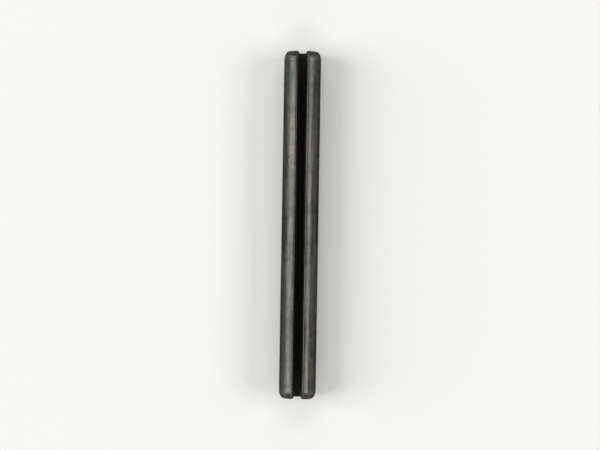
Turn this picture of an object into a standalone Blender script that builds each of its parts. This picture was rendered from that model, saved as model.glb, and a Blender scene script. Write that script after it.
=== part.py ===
"""Slotted spring pin: a strip of spring steel rolled into a C, with both ends swaged round.

The pin lies on its side on the plane z = 0, along Y, with its slot straight up.
Lengths are in metres and angles in radians.
"""

import math

import bmesh
import bpy

# Sizes of the free pin, before it is driven into a hole
PIN_LENGTH = 0.040
OUTER_DIAMETER = 0.00425
WALL = 0.0008
SLOT_WIDTH = 0.0010  # between the strip's two edges, along the middle of the wall

# Swaged ends: the outside curves in towards the end face, and the bore stays straight
SWAGE_LENGTH = 0.0009
SWAGE_DEPTH = 0.00036

# Blank: the flat strip before it is rolled
CORNER_RADIUS = 0.00025
EDGE_RADIUS = 0.00007

# Facets
ROLL_FACETS = 57  # odd, so that the pin lies on a flat facet and not on an edge
SWAGE_FACETS = 5
CORNER_FACETS = 3
EDGE_FACETS = 2
CUT_TOLERANCE = 0.000005
RIM_SLOPE = 0.1  # how far a rim face's normal may lean out through the wall

# Finish
STEEL_COLOUR = (0.105, 0.104, 0.096, 1.0)
STEEL_ROUGHNESS = 0.38
STEEL_METALLIC = 0.8
SMOOTH_ANGLE = math.radians(50)

# Worked out from the sizes
OUTER_RADIUS = OUTER_DIAMETER / 2
MIDDLE_RADIUS = OUTER_RADIUS - WALL / 2
STRIP_WIDTH = 2 * math.pi * MIDDLE_RADIUS - SLOT_WIDTH
ROLL_ANGLE = STRIP_WIDTH / MIDDLE_RADIUS
SWAGE_RADIUS = (SWAGE_LENGTH**2 + SWAGE_DEPTH**2) / (2 * SWAGE_DEPTH)
SWAGE_ANGLE = math.asin(SWAGE_LENGTH / SWAGE_RADIUS)


def clear_scene():
    for item in list(bpy.data.objects):
        bpy.data.objects.remove(item, do_unlink=True)


def make_steel():
    """Dark, satin spring steel as it leaves the oil after hardening."""
    material = bpy.data.materials.new("black_spring_steel")
    material.use_nodes = True
    material.diffuse_color = STEEL_COLOUR
    shader = material.node_tree.nodes["Principled BSDF"]
    shader.inputs["Base Color"].default_value = STEEL_COLOUR
    shader.inputs["Roughness"].default_value = STEEL_ROUGHNESS
    shader.inputs["Metallic"].default_value = STEEL_METALLIC
    return material


def cut_across(bm, axis, place):
    """Cut new edges through the whole blank where it crosses one plane."""
    point = [0.0, 0.0, 0.0]
    normal = [0.0, 0.0, 0.0]
    point[axis] = place
    normal[axis] = 1.0
    bmesh.ops.bisect_plane(
        bm,
        geom=bm.verts[:] + bm.edges[:] + bm.faces[:],
        dist=CUT_TOLERANCE,
        plane_co=point,
        plane_no=normal,
    )


def swage_drop(reach):
    """How far the outside has come in at a distance past the start of the swage."""
    return SWAGE_RADIUS - math.sqrt(SWAGE_RADIUS**2 - reach**2)


def swage_ends(bm):
    """Curve the strip's outer side in towards both ends."""
    swage_start = PIN_LENGTH / 2 - SWAGE_LENGTH
    for step in range(SWAGE_FACETS):
        place = swage_start + SWAGE_RADIUS * math.sin(SWAGE_ANGLE * step / SWAGE_FACETS)
        cut_across(bm, 2, place)
        cut_across(bm, 2, -place)
    for vert in bm.verts:
        reach = abs(vert.co.z) - swage_start
        if vert.co.y < 0 and reach > 0:
            vert.co.y += swage_drop(min(reach, SWAGE_LENGTH))


def is_rim(face):
    """True for the sheared faces round the strip, which stand square to its two sides."""
    return abs(face.normal.y) < RIM_SLOPE


def make_blank():
    """The flat strip: X runs across it, Y through its wall from outside to bore, and Z along the pin."""
    bm = bmesh.new()
    bmesh.ops.create_cube(bm, size=1.0)
    bmesh.ops.scale(bm, vec=(STRIP_WIDTH, WALL, PIN_LENGTH), verts=bm.verts)

    corners = [edge for edge in bm.edges if abs(edge.verts[0].co.y - edge.verts[1].co.y) > WALL / 2]
    bmesh.ops.bevel(
        bm,
        geom=corners,
        offset=CORNER_RADIUS,
        offset_type="OFFSET",
        segments=CORNER_FACETS,
        profile=0.5,
        affect="EDGES",
    )
    swage_ends(bm)

    rims = [edge for edge in bm.edges if len({is_rim(face) for face in edge.link_faces}) == 2]
    bmesh.ops.bevel(
        bm,
        geom=rims,
        offset=EDGE_RADIUS,
        offset_type="OFFSET",
        segments=EDGE_FACETS,
        profile=0.5,
        affect="EDGES",
    )
    for column in range(1, ROLL_FACETS):
        cut_across(bm, 0, STRIP_WIDTH * (column / ROLL_FACETS - 0.5))

    mesh = bpy.data.meshes.new("spring_pin")
    bm.to_mesh(mesh)
    bm.free()
    mesh.shade_smooth()
    mesh.set_sharp_from_angle(angle=SMOOTH_ANGLE)
    return mesh


def make_pin(collection):
    """Roll the blank round its long axis, and lay it down on its closed side."""
    pin = bpy.data.objects.new("spring_pin", make_blank())
    pin.data.materials.append(make_steel())
    collection.objects.link(pin)

    roll = pin.modifiers.new("rolled into a C", "SIMPLE_DEFORM")
    roll.deform_method = "BEND"
    roll.deform_axis = "Z"
    roll.angle = ROLL_ANGLE

    half_facet = ROLL_ANGLE / ROLL_FACETS / 2
    pin.rotation_euler = (math.pi / 2, 0.0, 0.0)
    pin.location = (0.0, 0.0, OUTER_RADIUS * math.cos(half_facet) - MIDDLE_RADIUS)
    return pin


def main():
    clear_scene()
    collection = bpy.data.collections.new("Spring pin")
    bpy.context.scene.collection.children.link(collection)
    make_pin(collection)


main()
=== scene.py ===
"""Slotted spring pin: the looks of a strip of oil-black spring steel rolled into a C.

The pin lies along Y on the plane z = 0, with its slot straight up. Lengths are in metres.
"""

import math

import bmesh
import bpy
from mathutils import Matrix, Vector


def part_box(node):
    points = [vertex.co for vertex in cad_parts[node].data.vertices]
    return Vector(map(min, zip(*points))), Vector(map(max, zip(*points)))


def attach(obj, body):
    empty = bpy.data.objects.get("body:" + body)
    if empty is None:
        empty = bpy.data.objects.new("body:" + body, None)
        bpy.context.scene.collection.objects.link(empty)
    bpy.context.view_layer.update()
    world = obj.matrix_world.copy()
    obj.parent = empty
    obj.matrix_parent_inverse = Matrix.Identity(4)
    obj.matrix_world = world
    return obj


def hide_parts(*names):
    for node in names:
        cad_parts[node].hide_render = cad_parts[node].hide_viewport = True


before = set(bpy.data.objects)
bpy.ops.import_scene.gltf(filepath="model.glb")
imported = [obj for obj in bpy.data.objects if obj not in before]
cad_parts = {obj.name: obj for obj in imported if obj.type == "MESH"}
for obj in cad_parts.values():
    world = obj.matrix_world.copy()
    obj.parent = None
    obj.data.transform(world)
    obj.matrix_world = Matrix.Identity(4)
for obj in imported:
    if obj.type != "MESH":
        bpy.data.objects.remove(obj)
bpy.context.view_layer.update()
PIN_LOW, PIN_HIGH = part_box("spring_pin")

bl_info = {
    "name": "Slotted spring pin",
    "version": (1, 0, 0),
    "blender": (4, 5, 0),
    "location": "View3D > Sidebar > Spring pin",
    "description": "A slotted spring pin of oil-black steel, with the stage it is shown on",
    "category": "Add Mesh",
}

MM = 0.001

# Cuts of the strip, close enough that no facet shows
ROLL_CUTS = 160
LENGTH_CUTS = 24
SWAGE_CUTS = 10
CORNER_SEGMENTS = 8
EDGE_SEGMENTS = 3
CUT_TOLERANCE = 1e-7  # in metres
PLACE_DIGITS = 8  # places in metres that agree to so many digits are one place
RIM_SLOPE = 0.1  # how far a sheared face's normal may lean out through the wall
SMOOTH_ANGLE = math.radians(40)
ORIGIN = (0.0, 0.0, 0.0)
OFF_CENTRE = (0.011, 0.017, 0.023)  # a place that each corner of the pin has its own distance from


class PinSizes(bpy.types.PropertyGroup):
    """Sizes of the free pin, before it is driven into a hole"""

    length: bpy.props.FloatProperty(
        name="Length",
        description="Length of the pin over both ends",
        default=PIN_HIGH.y - PIN_LOW.y,
        subtype="DISTANCE",
    )
    diameter: bpy.props.FloatProperty(
        name="Diameter",
        description="Outer diameter of the free pin",
        default=4.25 * MM,
        subtype="DISTANCE",
    )
    wall: bpy.props.FloatProperty(
        name="Wall",
        description="Thickness of the strip",
        default=0.8 * MM,
        subtype="DISTANCE",
    )
    slot: bpy.props.FloatProperty(
        name="Slot",
        description="Width of the slot, along the middle of the wall",
        default=1.0 * MM,
        subtype="DISTANCE",
    )
    swage_length: bpy.props.FloatProperty(
        name="Swage length",
        description="How far from each end the outside starts to curve in",
        default=0.9 * MM,
        subtype="DISTANCE",
    )
    swage_depth: bpy.props.FloatProperty(
        name="Swage depth",
        description="How far the outside has come in at the end face",
        default=0.36 * MM,
        subtype="DISTANCE",
    )
    corner_radius: bpy.props.FloatProperty(
        name="Corner radius",
        description="Radius of the strip's corners, where the slot runs out at an end",
        default=0.25 * MM,
        subtype="DISTANCE",
    )
    edge_radius: bpy.props.FloatProperty(
        name="Edge radius",
        description="Radius of the tumbled edges all round the strip",
        default=0.07 * MM,
        subtype="DISTANCE",
    )


class SteelFinish(bpy.types.PropertyGroup):
    """Colours of the oil-black spring steel"""

    steel: bpy.props.FloatVectorProperty(
        name="Steel",
        description="The oil-black skin",
        default=(0.0590, 0.0585, 0.0528),
        subtype="COLOR",
    )
    warm: bpy.props.FloatVectorProperty(
        name="Warm tint",
        description="Brown patches left by the hardening",
        default=(0.0648, 0.0585, 0.0502),
        subtype="COLOR",
    )
    cool: bpy.props.FloatVectorProperty(
        name="Cool tint",
        description="Green-grey patches left by the oil",
        default=(0.0530, 0.0585, 0.0550),
        subtype="COLOR",
    )
    worn: bpy.props.FloatVectorProperty(
        name="Worn",
        description="Brighter steel where the skin has rubbed off an edge",
        default=(0.085, 0.083, 0.078),
        subtype="COLOR",
    )
    bore: bpy.props.FloatVectorProperty(
        name="Bore",
        description="Dull scale inside the bore",
        default=(0.04, 0.038, 0.034),
        subtype="COLOR",
    )
    roughness: bpy.props.FloatProperty(
        name="Roughness",
        description="Roughness of the outside",
        default=0.32,
        min=0.0,
        max=1.0,
        subtype="FACTOR",
    )


class StageSettings(bpy.types.PropertyGroup):
    """Floor, softboxes and camera"""

    floor: bpy.props.FloatVectorProperty(
        name="Floor",
        description="Colour of the pale floor",
        default=(0.90, 0.895, 0.87),
        subtype="COLOR",
    )
    left_light: bpy.props.FloatProperty(
        name="Left softbox",
        description="Brightness of the left softbox, where 1 is white",
        default=5.4,
        min=0.0,
    )
    right_light: bpy.props.FloatProperty(
        name="Right softbox",
        description="Brightness of the right softbox, where 1 is white",
        default=5.6,
        min=0.0,
    )
    end_light: bpy.props.FloatProperty(
        name="End softboxes",
        description="Brightness of the softboxes at the pin's ends, where 1 is white",
        default=1.6,
        min=0.0,
    )
    lean: bpy.props.FloatProperty(
        name="Lean",
        description="How far the camera is turned, so that the pin leans in the picture",
        default=math.radians(0.95),
        subtype="ANGLE",
    )
    camera_height: bpy.props.FloatProperty(
        name="Camera height",
        description="Height of the camera above the floor",
        default=0.195,
        subtype="DISTANCE",
    )


class Number:
    """A number in a material, whose sums in Python add their Math nodes."""

    def __init__(self, finish, socket):
        self.finish = finish
        self.socket = socket

    def __add__(self, other):
        return self.finish.math("ADD", self, other)

    def __radd__(self, other):
        return self.finish.math("ADD", other, self)

    def __sub__(self, other):
        return self.finish.math("SUBTRACT", self, other)

    def __rsub__(self, other):
        return self.finish.math("SUBTRACT", other, self)

    def __mul__(self, other):
        return self.finish.math("MULTIPLY", self, other)

    def __rmul__(self, other):
        return self.finish.math("MULTIPLY", other, self)

    def __truediv__(self, other):
        return self.finish.math("DIVIDE", self, other)

    def __abs__(self):
        return self.finish.math("ABSOLUTE", self)


class Finish:
    """The nodes of one material."""

    def __init__(self, name):
        self.material = bpy.data.materials.new(name)
        self.material.use_nodes = True
        self.tree = self.material.node_tree
        self.shader = self.tree.nodes["Principled BSDF"]

    def feed(self, socket, value):
        """Link a socket to another one, or set its value."""
        if isinstance(value, Number):
            value = value.socket
        if isinstance(value, bpy.types.NodeSocket):
            self.tree.links.new(value, socket)
        else:
            socket.default_value = value

    def node(self, kind, settings=None, inputs=None):
        """Add a node, with its settings first and then the values or links of its sockets."""
        node = self.tree.nodes.new(kind)
        for name, value in (settings or {}).items():
            setattr(node, name, value)
        for name, value in (inputs or {}).items():
            self.feed(node.inputs[name], value)
        return node

    def math(self, operation, *values):
        node = self.node("ShaderNodeMath", {"operation": operation}, dict(enumerate(values)))
        return Number(self, node.outputs[0])

    def larger(self, first, second):
        return self.math("MAXIMUM", first, second)

    def rise(self, value, span, unit=1.0, origin=0.0):
        """0 below a span, 1 above it, and a soft step over it. It counts units from the origin."""
        start, end = span
        node = self.node(
            "ShaderNodeMapRange",
            {"interpolation_type": "SMOOTHSTEP"},
            {"Value": value, "From Min": origin + start * unit, "From Max": origin + end * unit},
        )
        return Number(self, node.outputs[0])

    def vector(self, x, y, z):
        return self.node("ShaderNodeCombineXYZ", None, {0: x, 1: y, 2: z}).outputs[0]

    def noise(self, place, per_mm, detail, roughness, shift=(0.0, 0.0, 0.0)):
        """Noise with so many patches to a millimetre, along each axis of a place in millimetres."""
        scaled = self.node(
            "ShaderNodeVectorMath", {"operation": "MULTIPLY_ADD"}, {0: place, 1: per_mm, 2: shift}
        )
        inputs = {"Vector": scaled.outputs[0], "Scale": 1.0, "Detail": detail, "Roughness": roughness}
        return Number(self, self.node("ShaderNodeTexNoise", None, inputs).outputs[0])

    def blend(self, factor, first, second, kind="MIX"):
        """Mix two colours."""
        node = self.node(
            "ShaderNodeMix",
            {"data_type": "RGBA", "blend_type": kind},
            {0: factor, 6: first, 7: second},
        )
        return node.outputs[2]


def rgba(colour):
    return (colour[0], colour[1], colour[2], 1.0)


def middle_radius(sizes):
    return (sizes.diameter - sizes.wall) / 2


def strip_width(sizes):
    return 2 * math.pi * middle_radius(sizes) - sizes.slot


def pick(mode, test):
    """Select in edit mode only what passes a test, by its place or normal."""
    bpy.ops.mesh.select_mode(type=mode)
    bpy.ops.mesh.select_all(action="DESELECT")
    mesh = bmesh.from_edit_mesh(bpy.context.object.data)
    for item in {"VERT": mesh.verts, "EDGE": mesh.edges}[mode]:
        if test(item):
            item.select_set(True)
    mesh.select_flush_mode()
    bmesh.update_edit_mesh(bpy.context.object.data)


def cut_across(axis, place):
    """Cut new edges all the way round the strip, where it crosses one plane."""
    point = Vector()
    normal = Vector()
    point[axis] = place
    normal[axis] = 1.0
    bpy.ops.mesh.select_all(action="SELECT")
    bpy.ops.mesh.bisect(plane_co=point, plane_no=normal, threshold=CUT_TOLERANCE)


def round_corners(sizes):
    """Round the strip's four corners, seen on its broad side."""
    pick("EDGE", lambda edge: abs(edge.verts[0].co.y - edge.verts[1].co.y) > sizes.wall / 2)
    bpy.ops.mesh.bevel(
        offset=sizes.corner_radius, segments=CORNER_SEGMENTS, profile=0.5, affect="EDGES"
    )


def swage_ends(sizes):
    """Curve the strip's outer side in towards both ends."""
    start = sizes.length / 2 - sizes.swage_length
    radius = (sizes.swage_length**2 + sizes.swage_depth**2) / (2 * sizes.swage_depth)
    sweep = math.asin(sizes.swage_length / radius)
    for step in range(SWAGE_CUTS):
        place = start + radius * math.sin(sweep * step / SWAGE_CUTS)
        cut_across(2, place)
        cut_across(2, -place)

    mesh = bmesh.from_edit_mesh(bpy.context.object.data)
    outer = [vert for vert in mesh.verts if vert.co.y < 0]
    reaches = {round(abs(vert.co.z) - start, PLACE_DIGITS) for vert in outer}
    for reach in sorted(reaches):
        if reach <= 0:
            continue
        drop = radius - math.sqrt(radius**2 - min(reach, sizes.swage_length) ** 2)
        pick(
            "VERT",
            lambda vert: vert.co.y < 0 and abs(abs(vert.co.z) - start - reach) < CUT_TOLERANCE,
        )
        bpy.ops.transform.translate(value=(0, drop, 0))


def round_rims(sizes):
    """Round the edges of the sheared faces all round the strip."""

    def is_rim(face):
        return abs(face.normal.y) < RIM_SLOPE

    pick("EDGE", lambda edge: len({is_rim(face) for face in edge.link_faces}) == 2)
    bpy.ops.mesh.bevel(
        offset=sizes.edge_radius, segments=EDGE_SEGMENTS, profile=0.5, affect="EDGES"
    )


def cut_strip(sizes):
    """Cut the strip finely across and along, so that it bends in a smooth curve."""
    width = strip_width(sizes)
    for column in range(1, ROLL_CUTS):
        cut_across(0, width * (column / ROLL_CUTS - 0.5))
    straight = sizes.length - 2 * sizes.swage_length
    for ring in range(1, LENGTH_CUTS):
        cut_across(2, straight * (ring / LENGTH_CUTS - 0.5))


def roll_strip(pin, sizes):
    """Bend the strip into a C and lay it down with its slot up."""
    roll = pin.modifiers.new("Rolled into a C", "SIMPLE_DEFORM")
    roll.deform_method = "BEND"
    roll.deform_axis = "Z"
    roll.angle = strip_width(sizes) / middle_radius(sizes)
    bpy.ops.object.modifier_apply(modifier=roll.name)
    pin.rotation_euler = (math.pi / 2, 0.0, 0.0)
    pin.location = (0.0, 0.0, sizes.wall / 2)
    bpy.ops.object.transform_apply(location=True, rotation=True, scale=True)


def close_mesh(scene):
    """Merge what meets, turn the faces outwards and give the mesh an order that never changes."""
    bpy.ops.mesh.select_all(action="SELECT")
    bpy.ops.mesh.remove_doubles(threshold=CUT_TOLERANCE)
    bpy.ops.mesh.normals_make_consistent(inside=False)
    scene.cursor.location = OFF_CENTRE
    bpy.ops.mesh.sort_elements(type="CURSOR_DISTANCE", elements={"VERT", "EDGE", "FACE"})
    scene.cursor.location = ORIGIN


class SpringSteel(Finish):
    """Oil-black spring steel, with the marks that the making of the pin leaves on it, and a painted
    highlight where each end starts to curve in.

    A mark is a noise pattern or a mask, from 0 to 1. A sum of marks names each with its strength.
    """

    # Spans over which one kind of surface turns into the next
    OUTSIDE_SPAN = (-0.1, 0.1)  # walls, out from the middle of the wall
    BORE_SPAN = (0.2, 1.2)  # edge radii, out from the bore
    RIM_SPAN = (0.1, 1.0)  # edge radii, in from the slot or from an end
    SWAGE_SPAN = (0.8, 1.1)  # swage lengths, in from an end
    TORN_SPAN = (-0.12, 0.04)  # walls, out from the middle of the wall
    WORN_SLOT_SPAN = (0.5, 1.8)  # edge radii, in from the slot
    WORN_END_SPAN = (0.6, 3.4)  # edge radii, in from an end
    # Where the painted highlight at the start of each swage begins and ends
    PAINTED_HIGHLIGHT_START_SPAN = (0.35, 0.65)  # millimetres, in from an end
    PAINTED_HIGHLIGHT_STOP_SPAN = (0.8, 1.3)  # millimetres, in from an end

    # Spans of noise over which its patches start to show
    TINT_PATCHES = (0.42, 0.72)
    PIT_PATCHES = (0.66, 0.74)
    # Patches of the painted highlight at the start of each swage
    PAINTED_HIGHLIGHT_PATCHES = (0.3, 0.52)
    WORN_PATCHES = (0.40, 0.58)

    METALLIC = 0.85
    GRAZING_TINT = (0.25, 0.25, 0.25, 1.0)  # the oil dulls what the steel mirrors at a low angle
    RELIEF_DEPTH = 0.035 * MM

    def __init__(self, sizes, colours):
        super().__init__("black_spring_steel")
        self.wall = sizes.wall / MM
        self.edge = sizes.edge_radius / MM
        self.swage = sizes.swage_length / MM
        self.find_places(sizes)
        self.add_patterns()
        self.add_masks()

        height = self.relief()
        bump = self.node("ShaderNodeBump", None, {"Distance": self.RELIEF_DEPTH, "Height": height})
        self.feed(self.shader.inputs["Base Color"], self.colour(colours))
        self.feed(self.shader.inputs["Roughness"], self.roughness(colours))
        self.feed(self.shader.inputs["Metallic"], self.METALLIC)
        self.feed(self.shader.inputs["Specular Tint"], self.GRAZING_TINT)
        self.feed(self.shader.inputs["Normal"], bump.outputs[0])

    def find_places(self, sizes):
        """Where a point is on the pin, and where it was on the flat strip, in millimetres."""
        place = self.node("ShaderNodeTexCoord").outputs["Object"]
        split = self.node("ShaderNodeSeparateXYZ", None, {"Vector": place})
        side, along, up = [Number(self, socket) / MM for socket in split.outputs]
        up = up - sizes.diameter / 2 / MM
        out = self.math("SQRT", side * side + up * up)
        middle = middle_radius(sizes) / MM
        across = self.math("ARCTAN2", side, up * -1.0) * middle
        self.depth = out - middle
        self.on_pin = self.vector(side, along, up)
        self.on_strip = self.vector(across, along, self.depth)
        self.to_slot = strip_width(sizes) / 2 / MM - abs(across)
        self.to_end = sizes.length / 2 / MM - abs(along)

    def add_patterns(self):
        """Noise for each kind of mark. On the strip it runs across, along and through the wall."""
        strip = self.on_strip
        pin = self.on_pin
        # The rolling mill leaves lines along the strip, and a slow swell
        self.fine_lines = self.noise(strip, per_mm=(8.0, 0.16, 3.0), detail=3.0, roughness=0.6)
        self.lines = self.noise(
            strip, per_mm=(2.6, 0.09, 1.0), detail=3.0, roughness=0.55, shift=(5.0, 0.0, 0.0)
        )
        self.swell = self.noise(strip, per_mm=(0.5, 0.2, 1.0), detail=2.0, roughness=0.5)
        # The swaging die leaves rings on the ends, and the blade leaves lines through the wall
        self.rings = self.noise(strip, per_mm=(0.35, 9.0, 9.0), detail=2.0, roughness=0.6)
        self.blade_lines = self.noise(strip, per_mm=(9.0, 9.0, 1.2), detail=2.0, roughness=0.6)
        # The oil bakes to a skin in patches of many sizes
        self.patches = self.noise(pin, per_mm=(0.35, 0.16, 0.35), detail=3.0, roughness=0.6)
        self.clouds = self.noise(
            pin, per_mm=(0.9, 0.45, 0.9), detail=4.0, roughness=0.6, shift=(7.0, 0.0, 0.0)
        )
        self.mottle = self.noise(
            pin, per_mm=(2.4, 1.5, 2.4), detail=3.0, roughness=0.6, shift=(0.0, 0.0, 4.0)
        )
        self.grain = self.noise(pin, per_mm=(20.0, 14.0, 20.0), detail=3.0, roughness=0.65)
        specks = self.noise(
            pin, per_mm=(5.0, 3.2, 5.0), detail=2.0, roughness=0.5, shift=(0.0, 3.0, 0.0)
        )
        self.pits = self.rise(specks, self.PIT_PATCHES)

    def add_masks(self):
        """Where each kind of surface is, where it is torn or worn, and where a highlight is painted
        on.
        """
        outside = self.rise(self.depth, self.OUTSIDE_SPAN, unit=self.wall)
        off_bore = self.rise(self.depth, self.BORE_SPAN, unit=self.edge, origin=-self.wall / 2)
        off_slot = self.rise(self.to_slot, self.RIM_SPAN, unit=self.edge)
        off_end = self.rise(self.to_end, self.RIM_SPAN, unit=self.edge)
        self.bore = 1.0 - off_bore
        self.sheared = 1.0 - off_slot * off_end
        self.swaged = 1.0 - self.rise(self.to_end, self.SWAGE_SPAN, unit=self.swage)

        # The lines along the strip are lost where it is swaged or sheared, and faint in the bore
        lost = self.larger(self.larger(self.swaged, self.sheared), self.total(bore=0.6))
        self.along_strip = 1.0 - lost

        # A sheared face is torn on the bore's side, up to an uneven line through the wall
        torn_depth = self.depth + self.swing(mottle=0.25) * self.wall
        self.torn = self.sheared * (1.0 - self.rise(torn_depth, self.TORN_SPAN, unit=self.wall))

        # A painted highlight: the steel's colour is made brighter in patches where the end starts to
        # curve in
        past_end = self.rise(self.to_end, self.PAINTED_HIGHLIGHT_START_SPAN)
        past_swage = self.rise(self.to_end, self.PAINTED_HIGHLIGHT_STOP_SPAN)
        highlight_patches = self.rise(self.total(clouds=0.6, mottle=0.4), self.PAINTED_HIGHLIGHT_PATCHES)
        self.burnished = (past_end - past_swage) * outside * highlight_patches

        # The skin wears off the outer edges of the slot and of the swaged ends
        near_slot = 1.0 - self.rise(self.to_slot, self.WORN_SLOT_SPAN, unit=self.edge)
        near_end = 1.0 - self.rise(self.to_end, self.WORN_END_SPAN, unit=self.edge)
        worn_off = self.rise(self.total(grain=0.5, clouds=0.5), self.WORN_PATCHES)
        self.worn = self.larger(near_slot, near_end) * outside * worn_off

    def total(self, **strengths):
        """The sum of some marks, each times its strength."""
        return sum(getattr(self, mark) * strength for mark, strength in strengths.items())

    def swing(self, **strengths):
        """The same sum, with each mark centred on 0, so that it takes away as much as it adds."""
        return sum((getattr(self, mark) - 0.5) * strength for mark, strength in strengths.items())

    def shade(self):
        """How bright the steel is, where 1 is as bright as its colour."""
        shade = 1.0 + self.swing(grain=0.4, mottle=1.2, patches=1.5, clouds=0.8)
        shade = shade + self.along_strip * self.swing(fine_lines=1.3, lines=1.5)
        shade = shade + self.swaged * self.swing(rings=0.8)
        shade = shade + self.sheared * self.swing(blade_lines=0.9)
        # The painted highlight at the start of each swage lightens the colour
        return shade + self.total(burnished=0.5, swaged=0.15, torn=-0.2, pits=-0.35)

    def colour(self, colours):
        """Brown and green-grey patches on the black, bright worn edges and a dull bore."""
        brown = self.rise(self.patches, self.TINT_PATCHES)
        green = self.rise(self.clouds, self.TINT_PATCHES)
        tint = self.blend(brown, rgba(colours.steel), rgba(colours.warm))
        tint = self.blend(green, tint, rgba(colours.cool))
        shade = self.shade()
        grey = self.node("ShaderNodeCombineColor", None, {0: shade, 1: shade, 2: shade}).outputs[0]
        tint = self.blend(1.0, tint, grey, "MULTIPLY")
        tint = self.blend(self.total(worn=0.75), tint, rgba(colours.worn))
        return self.blend(self.bore, tint, rgba(colours.bore))

    def roughness(self, colours):
        """Uneven along the lines and patches, smoother where worn, and dull where torn or scaled."""
        rough = colours.roughness + self.swing(lines=0.3, clouds=0.22, grain=0.12)
        rough = rough + self.total(worn=-0.05, pits=0.2)
        return rough + self.larger(self.total(torn=0.2), self.total(bore=0.22))

    def relief(self):
        """How high the skin stands, where 1 is the relief's depth."""
        height = self.total(swell=1.3, mottle=0.3, grain=0.05, pits=-0.3)
        height = height + self.along_strip * self.total(fine_lines=0.25, lines=0.8)
        height = height + self.swaged * self.total(rings=0.3)
        height = height + self.sheared * self.total(blade_lines=0.4)
        return height + (self.torn + self.bore) * self.total(grain=0.45)


class SPRINGPIN_OT_pin(bpy.types.Operator):
    """Shear, round, swage and roll the strip of spring steel"""

    bl_idname = "springpin.pin"
    bl_label = "Spring pin"

    def execute(self, context):
        sizes = context.scene.spring_pin_sizes
        bpy.ops.object.select_all(action="DESELECT")
        bpy.ops.mesh.primitive_cube_add(size=1.0, location=ORIGIN)
        pin = context.object
        pin.name = "spring_pin_steel"
        bpy.ops.transform.resize(value=(strip_width(sizes), sizes.wall, sizes.length))
        bpy.ops.object.transform_apply(location=False, rotation=False, scale=True)

        bpy.ops.object.mode_set(mode="EDIT")
        round_corners(sizes)
        swage_ends(sizes)
        round_rims(sizes)
        cut_strip(sizes)
        bpy.ops.object.mode_set(mode="OBJECT")

        roll_strip(pin, sizes)
        bpy.ops.object.mode_set(mode="EDIT")
        close_mesh(context.scene)
        bpy.ops.object.mode_set(mode="OBJECT")
        bpy.ops.object.shade_smooth_by_angle(angle=SMOOTH_ANGLE)

        steel = SpringSteel(sizes, context.scene.spring_pin_finish)
        pin.data.materials.append(steel.material)
        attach(pin, "root")
        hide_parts("spring_pin")
        return {"FINISHED"}


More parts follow.
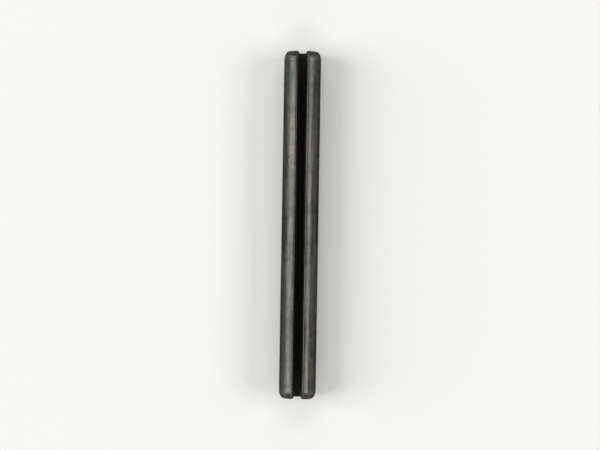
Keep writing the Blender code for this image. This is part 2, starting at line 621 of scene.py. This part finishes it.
class SPRINGPIN_OT_stage(bpy.types.Operator):
    """Set up the pale floor, the softboxes round the pin and the camera above it"""

    bl_idname = "springpin.stage"
    bl_label = "Stage"

    # Floor: a disc whose rim curves up in a cove, in metres
    FLOOR_RADIUS = 0.4
    FLOOR_SIDES = 96
    COVE_RADIUS = 0.06
    COVE_SEGMENTS = 12
    FLOOR_ROUGHNESS = 0.95
    FLOOR_GLOSS = 0.1

    # Softboxes: how far each leans from straight above the pin, and its two sides in metres
    SOFTBOX_DISTANCE = 3.2
    LEFT_TILT = math.radians(62)
    RIGHT_TILT = math.radians(58)
    END_TILT = math.radians(52)
    LEFT_SIZE = (2.2, 2.6)
    RIGHT_SIZE = (2.2, 1.2)
    END_SIZE = (3.0, 2.0)

    LENS = 100.0  # millimetres
    NEAREST_SEEN = 0.01  # metres
    WORLD_COLOUR = (1.0, 0.99, 0.97, 1.0)
    WORLD_LEVEL = 0.13

    def make_floor(self, context):
        """A round pale floor whose edge curves up out of sight."""
        settings = context.scene.spring_pin_stage
        bpy.ops.object.select_all(action="DESELECT")
        bpy.ops.mesh.primitive_circle_add(
            vertices=self.FLOOR_SIDES, radius=self.FLOOR_RADIUS, fill_type="NGON", location=ORIGIN
        )
        floor = context.object
        floor.name = "floor"
        bpy.ops.object.mode_set(mode="EDIT")
        pick("EDGE", lambda edge: True)
        turn = math.pi / 2 / self.COVE_SEGMENTS
        radius = self.FLOOR_RADIUS
        for step in range(self.COVE_SEGMENTS):
            wider = self.FLOOR_RADIUS + self.COVE_RADIUS * math.sin(turn * (step + 1))
            rise = self.COVE_RADIUS * (math.cos(turn * step) - math.cos(turn * (step + 1)))
            bpy.ops.mesh.extrude_edges_move(TRANSFORM_OT_translate={"value": (0, 0, rise)})
            bpy.ops.transform.resize(value=(wider / radius, wider / radius, 1.0))
            radius = wider
        bpy.ops.mesh.select_all(action="SELECT")
        bpy.ops.mesh.normals_make_consistent(inside=True)
        bpy.ops.object.mode_set(mode="OBJECT")
        bpy.ops.object.shade_smooth()

        matt = Finish("pale_floor")
        matt.feed(matt.shader.inputs["Base Color"], rgba(settings.floor))
        matt.feed(matt.shader.inputs["Roughness"], self.FLOOR_ROUGHNESS)
        matt.feed(matt.shader.inputs["Specular IOR Level"], self.FLOOR_GLOSS)
        floor.data.materials.append(matt.material)

    def make_softbox(self, name, size, side, tilt, level):
        """A softbox to one side of the pin, tilted from straight above it, that faces it."""
        place = Vector(side) * math.sin(tilt) + Vector((0.0, 0.0, math.cos(tilt)))
        place = place * self.SOFTBOX_DISTANCE
        bpy.ops.object.light_add(type="AREA", location=place)
        lamp = bpy.context.object
        lamp.name = name
        lamp.rotation_euler = place.to_track_quat("Z", "Y").to_euler()
        lamp.data.shape = "RECTANGLE"
        lamp.data.size, lamp.data.size_y = size
        # At this power a softbox of level 1 looks white
        lamp.data.energy = level * math.pi * size[0] * size[1]
        lamp.visible_camera = False

    def make_camera(self, context):
        """Straight above the middle of the pin, and turned so that the pin leans a little."""
        settings = context.scene.spring_pin_stage
        bpy.ops.object.camera_add(
            location=(0.0, 0.0, settings.camera_height), rotation=(0.0, 0.0, settings.lean)
        )
        camera = context.object
        camera.data.lens = self.LENS
        camera.data.clip_start = self.NEAREST_SEEN
        context.scene.camera = camera

    def execute(self, context):
        settings = context.scene.spring_pin_stage
        self.make_floor(context)
        lamps = (
            ("softbox_left", self.LEFT_SIZE, (-1, 0, 0), self.LEFT_TILT, settings.left_light),
            ("softbox_right", self.RIGHT_SIZE, (1, 0, 0), self.RIGHT_TILT, settings.right_light),
            ("softbox_far", self.END_SIZE, (0, 1, 0), self.END_TILT, settings.end_light),
            ("softbox_near", self.END_SIZE, (0, -1, 0), self.END_TILT, settings.end_light),
        )
        for lamp in lamps:
            self.make_softbox(*lamp)
        self.make_camera(context)

        world = bpy.data.worlds.new("dim_room")
        world.use_nodes = True
        sky = world.node_tree.nodes["Background"]
        sky.inputs["Color"].default_value = self.WORLD_COLOUR
        sky.inputs["Strength"].default_value = self.WORLD_LEVEL
        context.scene.world = world
        context.scene.view_settings.view_transform = "Standard"
        return {"FINISHED"}


class SPRINGPIN_PT_panel(bpy.types.Panel):
    """Spring pin"""

    bl_idname = "SPRINGPIN_PT_panel"
    bl_label = "Spring pin"
    bl_space_type = "VIEW_3D"
    bl_region_type = "UI"
    bl_category = "Spring pin"

    def draw(self, context):
        scene = context.scene
        groups = [
            (scene.spring_pin_sizes, PinSizes),
            (scene.spring_pin_finish, SteelFinish),
            (scene.spring_pin_stage, StageSettings),
        ]
        for values, group in groups:
            box = self.layout.box()
            for name in group.__annotations__:
                box.prop(values, name)
        for operator in (SPRINGPIN_OT_pin, SPRINGPIN_OT_stage):
            self.layout.operator(operator.bl_idname)


CLASSES = (
    PinSizes,
    SteelFinish,
    StageSettings,
    SPRINGPIN_OT_pin,
    SPRINGPIN_OT_stage,
    SPRINGPIN_PT_panel,
)


def register():
    for item in CLASSES:
        bpy.utils.register_class(item)
    bpy.types.Scene.spring_pin_sizes = bpy.props.PointerProperty(type=PinSizes)
    bpy.types.Scene.spring_pin_finish = bpy.props.PointerProperty(type=SteelFinish)
    bpy.types.Scene.spring_pin_stage = bpy.props.PointerProperty(type=StageSettings)


def unregister():
    del bpy.types.Scene.spring_pin_stage
    del bpy.types.Scene.spring_pin_finish
    del bpy.types.Scene.spring_pin_sizes
    for item in reversed(CLASSES):
        bpy.utils.unregister_class(item)


def main():
    register()
    bpy.ops.springpin.pin()
    bpy.ops.springpin.stage()


if __name__ == "__main__":
    main()
